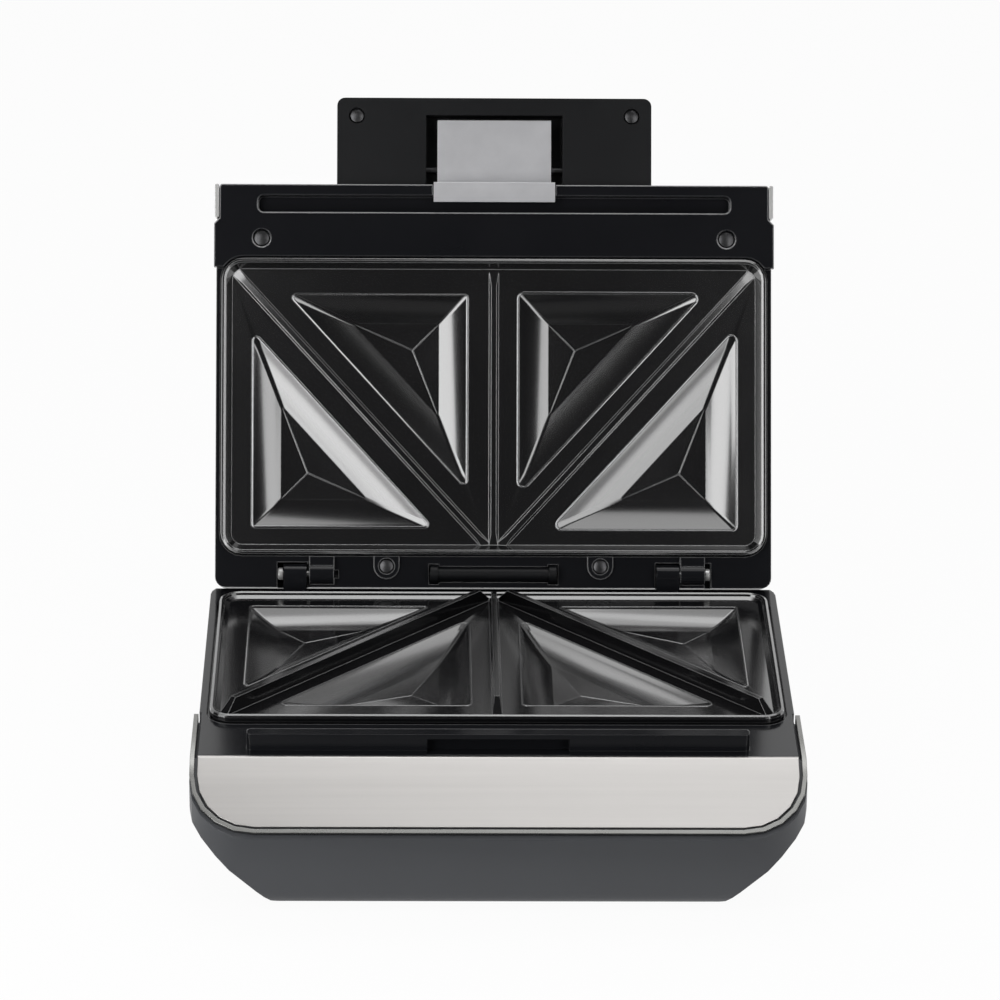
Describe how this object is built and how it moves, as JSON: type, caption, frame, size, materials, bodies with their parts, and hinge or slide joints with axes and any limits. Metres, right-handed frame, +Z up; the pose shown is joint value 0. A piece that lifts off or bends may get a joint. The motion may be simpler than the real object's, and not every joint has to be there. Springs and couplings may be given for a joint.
{
  "type": "sandwich maker",
  "caption": "Countertop sandwich maker with a hinged lid, black non-stick plates with triangular pockets, a sloping steel front and a handle with a sprung latch.",
  "frame": {"origin": "on the surface it stands on, under the middle of the box round the part with its lid open", "axes": "+X to the right seen from the front, +Y from the front to the hinge, +Z up"},
  "size_m": [0.2548, 0.3106, 0.2572],
  "materials": {
    "nonstick": "black non-stick coating, semi-gloss",
    "gloss_black": "high gloss",
    "satin_black": "fine satin",
    "shell_grey": "fine satin grain",
    "satin_steel": "satin, brushed along X",
    "silver_trim": "silver, satin",
    "zinc": "satin silver",
    "screw_steel": "plain",
    "tray_aluminium": "pressed, plain",
    "heater_steel": "dull",
    "rubber": "matt",
    "red_lens": "clear red",
    "green_lens": "clear green",
    "cream": "plain"
  },
  "bodies": {
    "base": {"lower_shell": "shell_grey", "base_frame": "gloss_black", "front_apron": "satin_steel", "front_trim": "silver_trim", "lower_cooking_plate": "nonstick", "lower_heating_element": "heater_steel", "lower_reflector": "tray_aluminium", "lower_element_clamp_front": "tray_aluminium", "lower_element_clamp_rear": "tray_aluminium", "thermostat": "tray_aluminium", "thermal_fuse": "cream", "terminal_block": "cream", "cord_gland": "satin_black", "foot_front_left": "rubber", "foot_front_right": "rubber", "foot_rear_left": "rubber", "foot_rear_right": "rubber", "left_hinge_pin": "screw_steel", "right_hinge_pin": "screw_steel", "deck_screw_left": "screw_steel", "deck_screw_right": "screw_steel"},
    "lid": {"lid_shell": "satin_black", "lid_frame": "gloss_black", "lid_front_strip": "gloss_black", "lid_panel": "satin_steel", "lid_corner_trim_left": "silver_trim", "lid_corner_trim_right": "silver_trim", "upper_cooking_plate": "nonstick", "upper_heating_element": "heater_steel", "upper_reflector": "tray_aluminium", "upper_element_clamp_front": "tray_aluminium", "upper_element_clamp_rear": "tray_aluminium", "handle_lower_half": "satin_black", "handle_upper_half": "satin_black", "handle_screw_left": "screw_steel", "handle_screw_right": "screw_steel", "strip_screw_left": "screw_steel", "strip_screw_right": "screw_steel", "hinge_strip_screw_left": "screw_steel", "hinge_strip_screw_right": "screw_steel", "wire_conduit": "satin_black", "power_lens": "red_lens", "ready_lens": "green_lens", "lamp_holder": "cream", "latch_pin": "screw_steel"},
    "latch": {"latch": "zinc", "latch_spring": "screw_steel"}
  },
  "joints": [
    {"name": "lid_hinge", "type": "hinge", "parent": "base", "child": "lid", "pos_m": [0, 0.05267, 0.0652], "axis": [1, 0, 0], "range_deg": [0, 115]},
    {"name": "latch_pivot", "type": "hinge", "parent": "lid", "child": "latch", "pos_m": [0, 0.13656, 0.22546], "axis": [-1, 0, 0], "range_deg": [0, 14], "stiffness_Nm_per_rad": 0.05}
  ]
}
